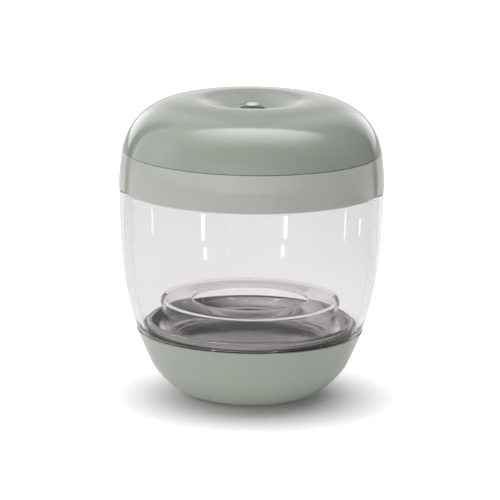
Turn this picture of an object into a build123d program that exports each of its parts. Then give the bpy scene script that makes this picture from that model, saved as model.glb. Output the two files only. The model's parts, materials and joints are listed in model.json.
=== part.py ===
"""Portable UV steriliser case for a baby's pacifier.

A clear tumbler stands in a rounded base that holds a metallised reflector bowl.
A clear stand in the bowl carries the pacifier under a lift-off lid, which holds
the lamp, the battery, the charging board and the push button in its dimpled top.

Millimetres, +Z up. The origin is the middle of the underside, the front is -Y
and the charging socket faces +Y. Everything round is centred on the Z axis.
"""

from build123d import *
from math import asin, cos, degrees, hypot, radians, sin, sqrt
import os

# ---------------------------------------------------------------- driving sizes
# outline, from the table up
base_height = 20.6  # table to the seam under the clear vessel
vessel_height = 43.3  # seam to the lower edge of the lid
band_height = 11.2  # upright band of the lid
dome_height = 15.6  # domed cover above the band

lid_radius = 40.0  # lower edge of the band, the widest place
band_taper = 1.0  # the band is this much narrower at its crease with the dome
dome_shoulder = 21.8  # from the crease in to the ring where the dome is highest
seam_inset = 5.75  # the seam of vessel and base lies this far inside the lid's edge
knee_inset = 5.1  # from the seam in to where the base starts to turn under
knee_height = 9.0
foot_inset = 11.25  # from the knee in to the flat of the underside

# leans from the vertical, in degrees
vessel_foot_lean = 17.0
vessel_lip_lean = 2.0
base_seam_lean = 20.5
base_knee_lean = 34.0
band_lean = 8.0
dome_lean = 13.0

# walls
base_wall = 2.2
vessel_foot_wall = 2.2
shoulder_width = 1.86  # ledge outside the vessel's neck, under the lid's edge
lid_wall = 2.0
cover_wall = 1.8

# seams and joints
seam_gap = 0.6  # shadow line between the vessel and the base
shoulder_gap = 0.3  # between the lid's edge and the vessel's shoulder
lid_overhang = 0.14
parting_gap = 0.15  # between the band and the dome
seat_depth = 1.0  # the vessel's tongue stands this far below the base's edge
tongue_wall = 1.2
neck_rise = 4.0  # the neck stands this far above the lid's edge
neck_wall = 1.8
skirt_clearance = 0.3  # round the neck, inside the band
edge_round = 0.5

# reflector bowl in the base
bowl_gap = 0.85  # between the bowl and the foot of the vessel
bowl_rise = 2.6  # rim above the seam
bowl_depth = 6.0
bowl_slope_width = 3.9  # from the rim in to the flat of the bowl
bowl_wall = 1.4
bowl_ledge = 1.2  # ledge in the base that carries the bowl's skirt
bowl_ledge_width = 1.0
bowl_ledge_spare = 0.3
bowl_flat_lean = 70.0
bowl_rim_lean = 8.0
bowl_boss_radius = 2.7
bowl_bosses = 3
bowl_bosses_turn = 90.0

# stand for the pacifier
stand_height = 12.6
stand_flare = 2.3  # the top is this much wider than the foot, all round
stand_hole_inset = 10.0  # width of the flat top
stand_foot_gap = 0.7  # between the foot and the slope of the bowl
stand_foot_width = 2.6
stand_wall = 1.3
stand_lift_gap = 0.02

# foot ring under the base
foot_ring_inset = 2.9  # from the edge of the flat underside
foot_ring_width = 5.0
foot_ring_height = 1.4
foot_ring_proud = 0.6
screw_boss_floor = 1.0  # under the bosses that the bowl's screws clamp

# floor of the lid
floor_thickness = 1.5
plug_depth = 3.4
plug_wall = 1.5
plug_clearance = 0.45
seal_height = 1.6
seal_inset = 0.8  # depth of the seal's groove in the plug
seal_clearance = 0.05
key_width = 4.4  # rib in the band that sets which way round the lid goes on
key_clearance = 0.3
key_depth = 0.9
magnet_size = (0.9, 3.6, 2.4)  # radial, along the rim, high
magnet_sink = 0.1

# dome: tongue, bosses and dimple
cover_tongue_depth = 1.4
cover_tongue_wall = 0.9
cover_fit = 0.05
cover_boss_inset = 6.0  # middle of a boss, from the inside of the band
cover_bosses_turn = -90.0
cover_boss_radius = 2.6
cover_bosses = 3
dimple_depth = 3.4
dimple_margin = 1.85  # flat floor of the dimple, round the button

# lamp under the lid's floor
window_radius = 10.0
window_thickness = 1.2
window_lip = 1.6  # overlap of the lip that the window's gasket lies on
gasket_thickness = 0.3
window_ring_wall = 3.4
mirror_thickness = 0.6
mirror_clearance = 0.3
mirror_screw_ring = 22.0
mirror_screws_turn = 30.0
lamp_board_radius = 13.0
lamp_board_thickness = 1.0
lamp_screw_ring = 11.4
lamp_ring = 4.4
lamps = 3
lamps_turn = 90.0
lamp_size = (3.5, 3.5, 1.2)

# main board
board_edge_gap = 2.6  # from the inside of the band
board_thickness = 1.2
socket_floor_gap = 0.4  # under the charging socket, which hangs from the board
board_post_ring = 24.0
board_post_radius = 2.4
board_posts = 3
board_posts_turn = 90.0
boss_clearance = 0.4

# charging socket
socket_size = (8.94, 7.3, 3.2)  # wide, deep, high
socket_shell = 0.3
socket_back = 1.0
socket_contact = (6.7, 4.6, 0.7)
socket_recess = 0.35
socket_clearance = 0.15

# battery
cell_size = (34.0, 27.0, 4.6)
cell_place_y = 2.0
cell_corner = 2.2
tape_thickness = 0.5
tape_size = (24.0, 18.0)

# button, its switch and their board
button_radius = 3.75
button_clearance = 0.08
button_side = 1.2  # upright side above the dimple's floor
button_rise = 1.0  # domed top
button_flange_radius = 4.9
button_flange = 0.9
button_play = 0.05
press_travel = 0.35
press_spare = 0.2
plunger_radius = 1.3
plunger_clearance = 0.05
switch_size = (5.2, 5.2, 1.6)
switch_board_radius = 14.5
switch_board_thickness = 1.0
switch_post_ring = 12.0
switch_post_radius = 1.9
switch_posts = 3
switch_posts_turn = 90.0
indicator_size = (1.6, 0.8, 0.6)
indicator_ring = 3.9

# fasteners
screw_radius = 0.9
screw_head_radius = 1.7
screw_head_height = 1.2
screw_length = 4.5
small_screw_radius = 0.6
small_screw_head_radius = 1.2
small_screw_head_height = 0.9
small_screw_length = 2.0
screw_slot = 0.35
pilot_spare = 0.5  # pilot holes are this much deeper than their screws

screw_spare = 0.2  # clearance round a screw and its head
screw_seat_wall = 1.0

# electronic parts on the boards, each (long, deep, high)
controller_size = (5.0, 5.0, 0.9)
charger_size = (3.0, 3.0, 0.8)
coil_size = (4.0, 4.0, 2.0)
capacitor_size = (0.8, 1.6, 0.8)
capacitor_pitch = 3.0
capacitors = 7
capacitor_row = 20.64  # from the middle of the board
sensor_size = (1.3, 2.9, 1.1)
chip_gap = 2.0

lead_radius = 0.4
lead_pitch = 1.8
lead_reach = 3.0

# ---------------------------------------------------------------- worked-out sizes
band_top_radius = lid_radius - band_taper
crest_radius = band_top_radius - dome_shoulder
seam_radius = lid_radius - seam_inset
knee_radius = seam_radius - knee_inset
foot_radius = knee_radius - foot_inset

seam_z = base_height
edge_z = seam_z + vessel_height
band_top_z = edge_z + band_height
crest_z = band_top_z + dome_height

base_top_z = seam_z - seam_gap / 2
vessel_foot_z = seam_z + seam_gap / 2
shoulder_z = edge_z - shoulder_gap
neck_top_z = edge_z + neck_rise
seat_z = base_top_z - seat_depth
underside_z = foot_ring_proud

vessel_radius = lid_radius - lid_overhang
neck_radius = vessel_radius - shoulder_width
vessel_bore_radius = neck_radius - neck_wall
skirt_radius = neck_radius + skirt_clearance
vessel_foot_bore = seam_radius - vessel_foot_wall
tongue_outer = vessel_foot_bore + tongue_wall - parting_gap

bowl_radius = vessel_foot_bore - bowl_gap
bowl_flat_radius = bowl_radius - bowl_wall - bowl_slope_width
stand_foot_radius = bowl_flat_radius - stand_foot_gap
stand_radius = stand_foot_radius + stand_flare
stand_hole_radius = stand_radius - stand_hole_inset

bowl_rim_z = seam_z + bowl_rise
bowl_floor_z = bowl_rim_z - bowl_depth
bowl_under_z = bowl_floor_z - bowl_wall
ledge_z = seat_z - parting_gap
stand_top_z = bowl_floor_z + stand_lift_gap + stand_height

floor_z = neck_top_z
floor_top_z = floor_z + floor_thickness
plug_radius = vessel_bore_radius - plug_clearance
plug_z = floor_z - plug_depth
seal_z = plug_z + (plug_depth - seal_height) / 2
upper_radius = band_top_radius - lid_wall
cover_boss_ring = upper_radius - cover_boss_inset
board_radius = upper_radius - board_edge_gap
rebate_radius = upper_radius + cover_tongue_wall + cover_fit
cover_tongue_z = band_top_z - cover_tongue_depth

window_z = floor_z - gasket_thickness - window_thickness
light_radius = window_radius - window_lip
window_ring_radius = window_radius + window_ring_wall
mirror_z = window_z - mirror_thickness
mirror_radius = plug_radius - plug_wall - mirror_clearance

board_z = floor_top_z + socket_floor_gap + socket_size[2]
board_top_z = board_z + board_thickness
tape_top_z = board_top_z + tape_thickness

dimple_radius = button_radius + dimple_margin
dimple_z = crest_z - dimple_depth
roof_z = dimple_z - cover_wall
button_hole_radius = button_radius + button_clearance
flange_top_z = roof_z - button_play
flange_z = flange_top_z - button_flange
switch_top_z = flange_z - press_travel - press_spare
switch_board_top_z = switch_top_z - switch_size[2]
switch_board_z = switch_board_top_z - switch_board_thickness
button_side_z = dimple_z + button_side

screw_seat_radius = screw_head_radius + screw_spare + screw_seat_wall
foot_ring_radius = foot_radius - foot_ring_inset
foot_ring_inner = foot_ring_radius - foot_ring_width
bowl_boss_ring = foot_ring_radius - foot_ring_width / 2
bowl_screw_z = foot_ring_height + screw_spare + screw_head_height
boss_foot_z = bowl_screw_z + screw_boss_floor
board_screw_grip = small_screw_length - board_thickness + pilot_spare
mirror_screw_grip = small_screw_length - mirror_thickness + pilot_spare
lamp_screw_grip = small_screw_length - lamp_board_thickness + pilot_spare
lamp_top_z = floor_top_z + lamp_board_thickness
magnet_ring = vessel_bore_radius + neck_wall / 2
magnet_z = neck_top_z - magnet_size[2] - magnet_sink
socket_z = board_z - socket_size[2] / 2
socket_mouth_y = band_top_radius - socket_recess

os.makedirs("parts", exist_ok=True)


def save(part, name):
    """Label a finished piece and write it under its node's name."""
    part.label = name
    export_step(part, f"parts/{name}.step")


# ---------------------------------------------------------------- outline curves
def lean_curve(low, low_lean, high, high_lean, pull_low=0.4, pull_high=0.4):
    """Control points of a smooth curve between two (radius, height) points.

    Each lean is the curve's angle from the vertical there, in degrees, positive
    where it leans outwards on the way up. The pulls are shares of the chord.
    """
    chord = hypot(high[0] - low[0], high[1] - low[1])
    from_low = (
        low[0] + pull_low * chord * sin(radians(low_lean)),
        low[1] + pull_low * chord * cos(radians(low_lean)),
    )
    to_high = (
        high[0] - pull_high * chord * sin(radians(high_lean)),
        high[1] - pull_high * chord * cos(radians(high_lean)),
    )
    return [low, from_low, to_high, high]


def inset(points, wall):
    """The same curve, moved inwards by the wall along its own end normals."""
    moved = []
    for end, beside in ((0, 1), (0, 1), (3, 2), (3, 2)):
        along_r = points[beside][0] - points[end][0]
        along_z = points[beside][1] - points[end][1]
        if end == 3:
            along_r, along_z = -along_r, -along_z
        length = hypot(along_r, along_z)
        moved.append((-along_z / length * wall, along_r / length * wall))
    return [(p[0] + m[0], p[1] + m[1]) for p, m in zip(points, moved)]


seam_point = (seam_radius, base_top_z)
knee_point = (knee_radius, knee_height)
crest_point = (crest_radius, crest_z)
dome_foot = (band_top_radius, band_top_z + parting_gap)
dimple_edge = (dimple_radius, dimple_z)

base_side = lean_curve(knee_point, base_knee_lean, seam_point, base_seam_lean, 0.19, 0.16)
base_turn = lean_curve((foot_radius, underside_z), 90, knee_point, base_knee_lean, 0.31, 0.14)
vessel_side = lean_curve(
    (seam_radius, vessel_foot_z), vessel_foot_lean, (vessel_radius, shoulder_z), vessel_lip_lean, 0.41, 0.47
)
vessel_inside = lean_curve(
    (vessel_foot_bore, vessel_foot_z), vessel_foot_lean, (vessel_bore_radius, shoulder_z), 0, 0.3, 0.5
)
band_side = lean_curve((lid_radius, edge_z), 0, (band_top_radius, band_top_z), -band_lean, 0.33, 0.33)
dome_side = lean_curve(dome_foot, -dome_lean, crest_point, -90, 0.413, 0.429)
dimple_side = [
    crest_point,
    (crest_radius - 0.42 * (crest_radius - dimple_radius), crest_z),
    (dimple_radius + 0.4 * (crest_radius - dimple_radius), dimple_z),
    dimple_edge,
]


# ---------------------------------------------------------------- shared shapes
def ring(low_z, high_z, outer, inner=0.0, mode=Mode.ADD):
    """Round disc or ring about the Z axis, inside the part being made."""
    with BuildSketch(Plane.XY.offset(low_z)) as outline:
        Circle(outer)
        if inner > 0:
            Circle(inner, mode=Mode.SUBTRACT)
    extrude(outline.sketch, amount=high_z - low_z, mode=mode)


def columns(low_z, high_z, radius, spots, mode=Mode.ADD):
    """Equal upright round posts or holes at the given (x, y) spots."""
    with BuildSketch(Plane.XY.offset(low_z)) as outline:
        with Locations(*spots):
            Circle(radius)
    extrude(outline.sketch, amount=high_z - low_z, mode=mode)


def block(low_z, size, spot=(0.0, 0.0), turn=0.0, mode=Mode.ADD, corner=0.0):
    """Upright block that stands on a height, with its middle over the spot."""
    with BuildSketch(Plane.XY.offset(low_z)) as outline:
        with Locations(Location((spot[0], spot[1], 0), (0, 0, turn))):
            if corner > 0:
                RectangleRounded(size[0], size[1], corner)
            else:
                Rectangle(size[0], size[1])
    extrude(outline.sketch, amount=size[2], mode=mode)


def spots_on_ring(radius, count, first=0.0):
    """Equally spaced (x, y) spots on a circle; the first angle is in degrees."""
    angles = [radians(first + 360 * i / count) for i in range(count)]
    return [(radius * cos(a), radius * sin(a)) for a in angles]


def screws(head_z, spots, points_up, radius, head_radius, head_height, length):
    """Pan-head screws as separate solids; head_z is the seat under each head."""
    way = 1 if points_up else -1
    head_low = head_z - head_height if points_up else head_z
    for spot in spots:
        columns(min(head_z, head_z + way * length), max(head_z, head_z + way * length), radius, [spot])
        columns(head_low, head_low + head_height, head_radius, [spot])
        slot_depth = head_height / 2
        slot_z = head_low if points_up else head_low + head_height - slot_depth
        for turn in (0, 90):
            slot = (1.2 * head_radius, screw_slot, slot_depth)
            block(slot_z, slot, spot, turn, mode=Mode.SUBTRACT)


# ================================================================= base and vessel
bowl_spots = spots_on_ring(bowl_boss_ring, bowl_bosses, bowl_bosses_turn)

hollow_top_z = seam_z + base_wall
with BuildPart() as base_hollow:
    with BuildSketch(Plane.XZ):
        with BuildLine():
            inner_turn = inset(base_turn, base_wall)
            inner_side = inset(base_side, base_wall)
            Line((0, inner_turn[0][1]), inner_turn[0])
            Bezier(*inner_turn)
            Bezier(*inner_side)
            Line(inner_side[3], (inner_side[3][0], hollow_top_z))
            Line((inner_side[3][0], hollow_top_z), (0, hollow_top_z))
            Line((0, hollow_top_z), (0, inner_turn[0][1]))
        make_face()
    revolve(axis=Axis.Z)

with BuildPart() as base_shell:
    with BuildSketch(Plane.XZ):
        with BuildLine():
            Line((0, underside_z), (foot_radius, underside_z))
            Bezier(*base_turn)
            Bezier(*base_side)
            Line(seam_point, (0, base_top_z))
            Line((0, base_top_z), (0, underside_z))
        make_face()
    revolve(axis=Axis.Z)
    add(base_hollow.part, mode=Mode.SUBTRACT)
    # ledge that carries the bowl, then the seats of the bowl's skirt and the vessel's tongue
    ring(ledge_z - bowl_ledge, base_top_z, bowl_radius + bowl_ledge_width, bowl_radius - bowl_ledge_width)
    ring(ledge_z, base_top_z, bowl_radius + parting_gap, mode=Mode.SUBTRACT)
    ring(seat_z, base_top_z, tongue_outer + parting_gap, mode=Mode.SUBTRACT)
    # screw seats, hidden by the foot ring that lies in its own groove
    columns(underside_z, boss_foot_z, screw_seat_radius, bowl_spots)
    ring(0, foot_ring_height, foot_ring_radius, foot_ring_inner, mode=Mode.SUBTRACT)
    columns(0, bowl_screw_z, screw_head_radius + screw_spare, bowl_spots, Mode.SUBTRACT)
    columns(0, boss_foot_z, screw_radius + screw_spare, bowl_spots, Mode.SUBTRACT)
save(base_shell.part, "base_shell")

with BuildPart() as foot_ring:
    ring(0, foot_ring_height, foot_ring_radius, foot_ring_inner)
    fillet(foot_ring.edges().group_by(Axis.Z)[0], foot_ring_proud / 2)
save(foot_ring.part, "foot_ring")

with BuildPart() as bowl_screws:
    screws(bowl_screw_z, bowl_spots, True, screw_radius, screw_head_radius, screw_head_height, screw_length)
save(bowl_screws.part, "bowl_screws")

bowl_inside = lean_curve(
    (bowl_flat_radius, bowl_floor_z), bowl_flat_lean, (bowl_radius - bowl_wall, bowl_rim_z), bowl_rim_lean
)
bowl_ledge_inner = bowl_radius - bowl_ledge_width - bowl_ledge_spare
bowl_outside = lean_curve(
    (bowl_flat_radius, bowl_under_z), bowl_flat_lean, (bowl_ledge_inner, ledge_z), bowl_rim_lean
)
with BuildPart() as reflector_bowl:
    with BuildSketch(Plane.XZ) as bowl_outline:
        with BuildLine():
            Polyline((0, bowl_floor_z), (0, bowl_under_z), (bowl_flat_radius, bowl_under_z))
            Bezier(*bowl_outside)
            Polyline(bowl_outside[3], (bowl_radius, ledge_z), (bowl_radius, bowl_rim_z), bowl_inside[3])
            Bezier(*bowl_inside)
            Line(bowl_inside[0], (0, bowl_floor_z))
        make_face()
        rim_corners = bowl_outline.vertices().group_by(Axis.Y)[-1]
        fillet(rim_corners, 0.45 * bowl_wall)
    revolve(axis=Axis.Z)
    columns(boss_foot_z, bowl_floor_z - bowl_wall / 2, bowl_boss_radius, bowl_spots)
    columns(boss_foot_z, bowl_screw_z + screw_length + pilot_spare, screw_radius, bowl_spots, Mode.SUBTRACT)
save(reflector_bowl.part, "reflector_bowl")

with BuildPart() as clear_vessel:
    with BuildSketch(Plane.XZ) as vessel_outline:
        with BuildLine():
            Polyline(
                (vessel_foot_bore, vessel_foot_z),
                (vessel_foot_bore, seat_z),
                (tongue_outer, seat_z),
                (tongue_outer, vessel_foot_z),
                (seam_radius, vessel_foot_z),
            )
            Bezier(*vessel_side)
            Polyline(
                (vessel_radius, shoulder_z),
                (neck_radius, shoulder_z),
                (neck_radius, neck_top_z),
                (vessel_bore_radius, neck_top_z),
                (vessel_bore_radius, shoulder_z),
            )
            Bezier(*vessel_inside)
        make_face()
        neck_corners = vessel_outline.vertices().group_by(Axis.Y)[-1]
        lip_corners = vessel_outline.vertices().group_by(Axis.X)[-1]
        foot_corner = vessel_outline.vertices().sort_by_distance((seam_radius, vessel_foot_z))[0]
        fillet([*neck_corners, *lip_corners, foot_corner], edge_round)
    revolve(axis=Axis.Z)
    # notch that takes the lid's key, and the magnet's pocket opposite
    notch = (key_depth, key_width + 2 * key_clearance, neck_top_z - shoulder_z)
    block(shoulder_z, notch, (-neck_radius + key_depth / 2, 0), mode=Mode.SUBTRACT)
    block(magnet_z, magnet_size, (magnet_ring, 0), mode=Mode.SUBTRACT)
    block(magnet_z + magnet_size[2], magnet_size, (magnet_ring, 0), mode=Mode.SUBTRACT)
save(clear_vessel.part, "clear_vessel")

with BuildPart() as lid_magnet:
    block(magnet_z, magnet_size, (magnet_ring, 0))
save(lid_magnet.part, "lid_magnet")

# ================================================================= pacifier stand
stand_z = bowl_floor_z + stand_lift_gap
with BuildPart() as pacifier_stand:
    with BuildSketch(Plane.XZ) as stand_outline:
        with BuildLine():
            Polyline(
                (stand_foot_radius - stand_foot_width, stand_z),
                (stand_foot_radius, stand_z),
                (stand_radius, stand_top_z),
                (stand_hole_radius, stand_top_z),
                (stand_hole_radius, stand_top_z - stand_wall),
                (stand_radius - stand_wall, stand_top_z - stand_wall),
                (stand_foot_radius - stand_wall, stand_z + stand_wall),
                (stand_foot_radius - stand_foot_width, stand_z + stand_wall),
                close=True,
            )
        make_face()
        fillet(stand_outline.vertices().group_by(Axis.Y)[-1], 0.8 * stand_wall)
        fillet(stand_outline.vertices().group_by(Axis.Y)[0], 0.3 * stand_wall)
    revolve(axis=Axis.Z)
save(pacifier_stand.part, "pacifier_stand")

# ================================================================= floor of the lid
cover_spots = spots_on_ring(cover_boss_ring, cover_bosses, cover_bosses_turn)
board_spots = spots_on_ring(board_post_ring, board_posts, board_posts_turn)
mirror_spots = spots_on_ring(mirror_screw_ring, board_posts, mirror_screws_turn)
lamp_spots = spots_on_ring(lamp_ring, lamps, lamps_turn)
lamp_screw_spots = spots_on_ring(lamp_screw_ring, lamps, lamps_turn + 180)

with BuildPart() as lid_housing:
    with BuildSketch(Plane.XZ) as housing_outline:
        with BuildLine():
            Line((skirt_radius, edge_z), (lid_radius, edge_z))
            Bezier(*band_side)
            Polyline(
                (band_top_radius, band_top_z),
                (rebate_radius, band_top_z),
                (rebate_radius, cover_tongue_z - cover_fit),
                (upper_radius, cover_tongue_z - cover_fit),
                (upper_radius, floor_top_z),
                (light_radius, floor_top_z),
                (light_radius, floor_z),
                (window_radius + cover_fit, floor_z),
                (window_radius + cover_fit, window_z),
                (window_ring_radius, window_z),
                (window_ring_radius, floor_z),
                (plug_radius - plug_wall, floor_z),
                (plug_radius - plug_wall, plug_z),
                (plug_radius, plug_z),
                (plug_radius, seal_z),
                (plug_radius - seal_inset, seal_z),
                (plug_radius - seal_inset, seal_z + seal_height),
                (plug_radius, seal_z + seal_height),
                (plug_radius, floor_z),
                (skirt_radius, floor_z),
                (skirt_radius, edge_z),
            )
        make_face()
        edge_corner = housing_outline.vertices().sort_by_distance((lid_radius, edge_z))[0]
        top_corner = housing_outline.vertices().sort_by_distance((band_top_radius, band_top_z))[0]
        fillet([edge_corner, top_corner], edge_round / 2)
    revolve(axis=Axis.Z)
    # key under the floor, posts for the board and the mirror
    key_inner = neck_radius - key_depth + key_clearance
    key = (skirt_radius + lid_wall / 2 - key_inner, key_width, neck_rise - edge_round)
    block(edge_z + edge_round, key, (-key_inner - key[0] / 2, 0))
    columns(floor_top_z, board_z, board_post_radius, board_spots)
    columns(window_z, floor_z, board_post_radius, mirror_spots)
    # screw holes
    columns(floor_z, floor_top_z, screw_radius + screw_spare, cover_spots, Mode.SUBTRACT)
    columns(board_z - board_screw_grip, board_z, small_screw_radius, board_spots, Mode.SUBTRACT)
    columns(window_z, window_z + mirror_screw_grip, small_screw_radius, mirror_spots, Mode.SUBTRACT)
    columns(floor_top_z - lamp_screw_grip, floor_top_z, small_screw_radius, lamp_screw_spots, Mode.SUBTRACT)
    # mouth of the charging socket
    with BuildSketch(Plane.XZ.offset(-upper_radius + lid_wall / 2)) as mouth:
        with Locations((0, socket_z)):
            RectangleRounded(
                socket_size[0] + 2 * socket_clearance,
                socket_size[2] + 2 * socket_clearance,
                socket_size[2] / 2,
            )
    extrude(mouth.sketch, amount=-(lid_radius - upper_radius + lid_wall), mode=Mode.SUBTRACT)
save(lid_housing.part, "lid_housing")

with BuildPart() as lid_seal:
    ring(seal_z, seal_z + seal_height, vessel_bore_radius - seal_clearance, plug_radius - seal_inset)
    fillet(lid_seal.edges().group_by(SortBy.LENGTH)[-1], seal_height / 3)
save(lid_seal.part, "lid_seal")

with BuildPart() as window_gasket:
    ring(floor_z - gasket_thickness, floor_z, window_radius, light_radius)
save(window_gasket.part, "window_gasket")

with BuildPart() as lamp_window:
    ring(window_z, floor_z - gasket_thickness, window_radius)
save(lamp_window.part, "lamp_window")

with BuildPart() as ceiling_mirror:
    ring(mirror_z, window_z, mirror_radius, light_radius)
    columns(mirror_z, window_z, small_screw_radius, mirror_spots, Mode.SUBTRACT)
save(ceiling_mirror.part, "ceiling_mirror")

small_screw = (small_screw_radius, small_screw_head_radius, small_screw_head_height, small_screw_length)
with BuildPart() as mirror_screws:
    screws(mirror_z, mirror_spots, True, *small_screw)
save(mirror_screws.part, "mirror_screws")

# ---------------------------------------------------------------- lamp
with BuildPart() as lamp_board:
    ring(floor_top_z, lamp_top_z, lamp_board_radius)
    columns(floor_top_z, lamp_top_z, small_screw_radius, lamp_screw_spots, Mode.SUBTRACT)
save(lamp_board.part, "lamp_board")

with BuildPart() as lamp_screws:
    screws(lamp_top_z, lamp_screw_spots, False, *small_screw)
save(lamp_screws.part, "lamp_screws")

with BuildPart() as uv_lamps:
    for lamp_spot in lamp_spots:
        block(floor_top_z - lamp_size[2], lamp_size, lamp_spot)
save(uv_lamps.part, "uv_lamps")

with BuildPart() as lamp_leads:
    lamp_lead_y = -(lamp_screw_ring - small_screw_head_radius - 3 * lead_radius)
    lead_spots = [(side * lead_pitch / 2, lamp_lead_y) for side in (-1, 1)]
    columns(lamp_top_z, board_z, lead_radius, lead_spots)
save(lamp_leads.part, "lamp_leads")

# ================================================================= main board
with BuildPart() as main_board:
    ring(board_z, board_top_z, board_radius)
    tab_end = upper_radius - boss_clearance
    tab = (socket_size[0] + 2 * boss_clearance, tab_end - board_post_ring, board_thickness)
    block(board_z, tab, (0, board_post_ring + tab[1] / 2))
    columns(board_z, board_top_z, cover_boss_radius + boss_clearance, cover_spots, Mode.SUBTRACT)
    columns(board_z, board_top_z, small_screw_radius, board_spots, Mode.SUBTRACT)
save(main_board.part, "main_board")

with BuildPart() as board_screws:
    screws(board_top_z, board_spots, False, *small_screw)
save(board_screws.part, "board_screws")

with BuildPart() as charging_socket:
    socket_depth = socket_size[1] - socket_back
    for grow, depth, mode in (
        (0, socket_size[1], Mode.ADD),
        (-socket_shell, socket_depth, Mode.SUBTRACT),
    ):
        with BuildSketch(Plane.XZ.offset(-socket_mouth_y)) as shell:
            with Locations((0, socket_z)):
                width = socket_size[0] + 2 * grow
                height = socket_size[2] + 2 * grow
                RectangleRounded(width, height, 0.49 * height)
        extrude(shell.sketch, amount=depth, mode=mode)
save(charging_socket.part, "charging_socket")

with BuildPart() as socket_tongue:
    tongue_back_y = socket_mouth_y - socket_depth
    tongue_low_z = socket_z - socket_contact[2] / 2
    block(tongue_low_z, socket_contact, (0, tongue_back_y + socket_contact[1] / 2))
save(socket_tongue.part, "socket_tongue")

chip_x = cell_size[0] / 2 + chip_gap + controller_size[0] / 2
with BuildPart() as controller_chip:
    block(board_top_z, controller_size, (chip_x, -controller_size[1]))
save(controller_chip.part, "controller_chip")

with BuildPart() as boost_coil:
    block(board_top_z, coil_size, (chip_x, coil_size[1] + chip_gap), corner=coil_size[0] / 4)
save(boost_coil.part, "boost_coil")

with BuildPart() as charger_chip:
    block(board_top_z, charger_size, (board_post_radius + charger_size[0] + chip_gap, board_post_ring))
save(charger_chip.part, "charger_chip")

with BuildPart() as board_capacitors:
    for place in range(capacitors):
        capacitor_x = (place - (capacitors - 1) / 2) * capacitor_pitch
        block(board_top_z, capacitor_size, (capacitor_x, -capacitor_row))
save(board_capacitors.part, "board_capacitors")

with BuildPart() as lid_sensor:
    block(board_z - sensor_size[2], sensor_size, (board_radius - sensor_size[0], 0))
save(lid_sensor.part, "lid_sensor")

# ---------------------------------------------------------------- battery
with BuildPart() as battery_tape:
    block(board_top_z, (*tape_size, tape_thickness), (0, cell_place_y))
save(battery_tape.part, "battery_tape")

with BuildPart() as battery_cell:
    block(tape_top_z, cell_size, (0, cell_place_y), corner=cell_corner)
    fillet(battery_cell.edges().group_by(Axis.Z)[-1], cell_corner / 4)
save(battery_cell.part, "battery_cell")

with BuildPart() as battery_leads:
    cell_end_x = -cell_size[0] / 2
    lead_z = tape_top_z + cell_size[2] / 2
    for side in (-1, 1):
        lead_y = cell_place_y + side * lead_pitch / 2
        with BuildLine() as lead_path:
            FilletPolyline(
                (cell_end_x, lead_y, lead_z),
                (cell_end_x - lead_reach, lead_y, lead_z),
                (cell_end_x - lead_reach, lead_y, board_top_z),
                radius=0.7 * (lead_z - board_top_z),
            )
        with BuildSketch(Plane(origin=lead_path.line @ 0, z_dir=lead_path.line % 0)) as lead_section:
            Circle(lead_radius)
        sweep(lead_section.sketch, path=lead_path.line)
save(battery_leads.part, "battery_leads")

# ================================================================= domed cover
switch_spots = spots_on_ring(switch_post_ring, switch_posts, switch_posts_turn)
dome_inside = lean_curve(
    (upper_radius, band_top_z), -dome_lean, (crest_radius, crest_z - cover_wall), -90, 0.413, 0.429
)
dimple_inside = [(r, z - cover_wall) for r, z in dimple_side]

with BuildPart() as cover_hollow:
    with BuildSketch(Plane.XZ):
        with BuildLine():
            Polyline((0, cover_tongue_z), (upper_radius, cover_tongue_z), (upper_radius, band_top_z))
            Bezier(*dome_inside)
            Bezier(*dimple_inside)
            Polyline(dimple_inside[3], (0, roof_z), (0, cover_tongue_z))
        make_face()
    revolve(axis=Axis.Z)
    # what stays solid: bosses for the cover's screws and posts for the switch board
    columns(cover_tongue_z, crest_z, cover_boss_radius, cover_spots, Mode.SUBTRACT)
    columns(switch_board_top_z, crest_z, switch_post_radius, switch_spots, Mode.SUBTRACT)

with BuildPart() as lid_cover:
    with BuildSketch(Plane.XZ):
        with BuildLine():
            cover_tongue_radius = rebate_radius - cover_fit
            Polyline(
                (0, dimple_z),
                (0, cover_tongue_z),
                (cover_tongue_radius, cover_tongue_z),
                (cover_tongue_radius, dome_foot[1]),
                dome_foot,
            )
            Bezier(*dome_side)
            Bezier(*dimple_side)
            Line(dimple_edge, (0, dimple_z))
        make_face()
    revolve(axis=Axis.Z)
    add(cover_hollow.part, mode=Mode.SUBTRACT)
    columns(floor_top_z, cover_tongue_z, cover_boss_radius, cover_spots)
    columns(floor_top_z, floor_z + screw_length + pilot_spare, screw_radius, cover_spots, Mode.SUBTRACT)
    columns(
        switch_board_top_z,
        switch_board_z + small_screw_length + pilot_spare,
        small_screw_radius,
        switch_spots,
        Mode.SUBTRACT,
    )
    ring(roof_z, dimple_z, button_hole_radius, mode=Mode.SUBTRACT)
save(lid_cover.part, "lid_cover")

with BuildPart() as cover_screws:
    screws(floor_z, cover_spots, True, screw_radius, screw_head_radius, screw_head_height, screw_length)
save(cover_screws.part, "cover_screws")

# ---------------------------------------------------------------- switch and button
with BuildPart() as switch_board:
    ring(switch_board_z, switch_board_top_z, switch_board_radius)
    columns(switch_board_z, switch_board_top_z, small_screw_radius, switch_spots, Mode.SUBTRACT)
save(switch_board.part, "switch_board")

with BuildPart() as switch_screws:
    screws(switch_board_z, switch_spots, True, *small_screw)
save(switch_screws.part, "switch_screws")

with BuildPart() as switch_leads:
    switch_lead_y = cell_place_y - cell_size[1] / 2 - lead_pitch
    wires = [((i - 1.5) * lead_pitch, switch_lead_y) for i in range(4)]
    columns(board_top_z, switch_board_z, lead_radius, wires)
save(switch_leads.part, "switch_leads")

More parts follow.
